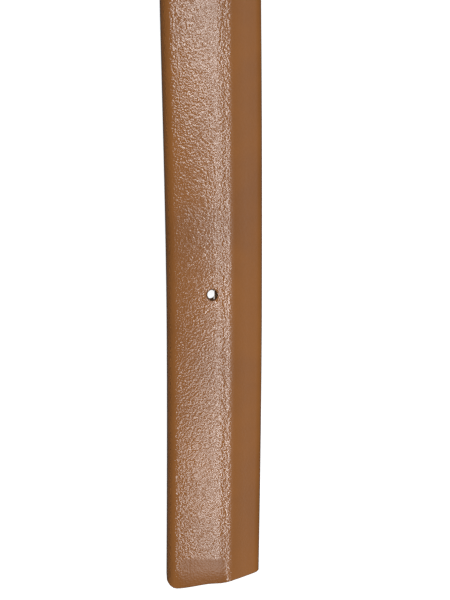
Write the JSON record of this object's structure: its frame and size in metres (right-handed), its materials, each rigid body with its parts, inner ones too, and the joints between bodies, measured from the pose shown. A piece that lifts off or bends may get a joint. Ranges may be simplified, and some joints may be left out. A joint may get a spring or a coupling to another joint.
{
  "type": "money belt",
  "caption": "Hollow folded leather strap with a zipped pocket along its back, a punched tail and a roller buckle with a leather keeper.",
  "frame": {"origin": "on the ground under the middle of the belt's overall box", "axes": "+Y along the belt from tail to buckle, +Z out of its front face, +X to the right seen from the front with the buckle up"},
  "size_m": [0.05, 1.0774, 0.0191],
  "materials": {
    "strap_leather": "tan grained leather, semi-gloss on the front",
    "lining_leather": "plain matt leather",
    "stay_fabric": "woven cotton stay tape",
    "zip_tape": "woven brown polyester tape",
    "thread": "bonded waxed thread, a shade lighter than the leather",
    "zip_brass": "antique brass, lightly worn",
    "buckle_steel": "nickel-plated steel, satin",
    "screw_steel": "nickel-plated steel, satin"
  },
  "bodies": {
    "strap": {"strap_shell": "strap_leather", "zip_stay_left": "stay_fabric", "zip_stay_right": "stay_fabric", "zip_tape_left": "zip_tape", "zip_tape_right": "zip_tape", "zip_teeth_left": "zip_brass", "zip_teeth_right": "zip_brass", "zip_top_stop_left": "zip_brass", "zip_top_stop_right": "zip_brass", "zip_bottom_stop": "zip_brass", "buckle_chape": "lining_leather", "chape_post_front": "screw_steel", "chape_post_rear": "screw_steel", "chape_screw_front": "screw_steel", "chape_screw_rear": "screw_steel", "fixed_keeper": "strap_leather"},
    "buckle": {"buckle_frame": "buckle_steel", "buckle_bar": "buckle_steel"},
    "roller": {"buckle_roller": "buckle_steel"},
    "prong": {"buckle_prong": "buckle_steel"},
    "slider": {"zip_slider": "zip_brass"},
    "pull": {"zip_pull": "zip_brass"}
  },
  "joints": [
    {"name": "buckle_swing", "type": "hinge", "parent": "strap", "child": "buckle", "pos_m": [0, 0.5086, 0.00525], "axis": [1, 0, 0], "range_deg": [-75, 25]},
    {"name": "roller_spin", "type": "hinge", "parent": "buckle", "child": "roller", "pos_m": [0, 0.5356, 0.00525], "axis": [1, 0, 0], "continuous": true},
    {"name": "prong_lift", "type": "hinge", "parent": "buckle", "child": "prong", "pos_m": [0, 0.5086, 0.00525], "axis": [1, 0, 0], "range_deg": [0, 95]},
    {"name": "zip_slide", "type": "slide", "parent": "strap", "child": "slider", "axis": [0, 1, 0], "range_m": [-0.399, 0]},
    {"name": "pull_swing", "type": "hinge", "parent": "slider", "child": "pull", "pos_m": [0, 0.2178, 0.002], "axis": [1, 0, 0], "range_deg": [0, 165]}
  ]
}
